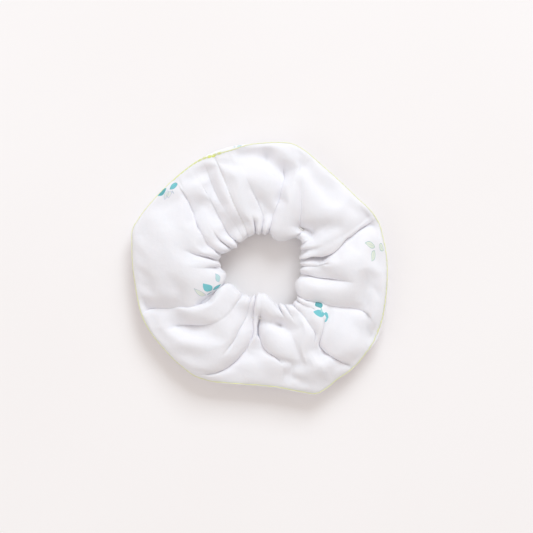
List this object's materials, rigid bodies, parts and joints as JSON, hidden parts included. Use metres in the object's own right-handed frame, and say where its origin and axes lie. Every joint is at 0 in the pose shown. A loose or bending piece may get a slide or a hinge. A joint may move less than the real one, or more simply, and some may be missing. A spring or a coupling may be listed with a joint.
{
  "type": "hair scrunchie",
  "caption": "Gathered fabric hair scrunchie: a printed cloth tube sewn round a flat elastic loop, with a bright overlocked outer seam.",
  "frame": {"origin": "centre of the ring's box, on the surface that its back lies on", "axes": "+Z out of the printed front, along the hole; +Y towards the top of the ring as it hangs, +X to the right seen from the front"},
  "size_m": [0.132, 0.132, 0.021],
  "materials": {
    "printed_cloth": "soft white cotton, matt, with small printed teal leaf sprigs",
    "elastic_braid": "white braided elastic, ribbed along its length",
    "lime_thread": "fluorescent lime-yellow polyester thread, slight sheen",
    "white_thread": "white polyester thread, slight sheen"
  },
  "bodies": {
    "ring": {"fabric_strip": "printed_cloth", "elastic_band": "elastic_braid", "overlock_needle_thread": "lime_thread", "overlock_upper_looper_thread": "lime_thread", "overlock_lower_looper_thread": "lime_thread"},
    "cross_seam_side": {"cross_seam_needle_thread": "white_thread", "cross_seam_bobbin_thread": "white_thread", "closing_needle_thread": "lime_thread", "closing_bobbin_thread": "lime_thread", "elastic_join_needle_thread": "white_thread", "elastic_join_bobbin_thread": "white_thread"}
  },
  "joints": [
    {"name": "stretch", "type": "slide", "parent": "ring", "child": "cross_seam_side", "axis": [-0.3907, 0.9205, 0], "range_m": [0, 0.03], "stiffness_N_per_m": 75, "deforming": ["fabric_strip", "elastic_band", "overlock_needle_thread", "overlock_upper_looper_thread", "overlock_lower_looper_thread"]}
  ]
}
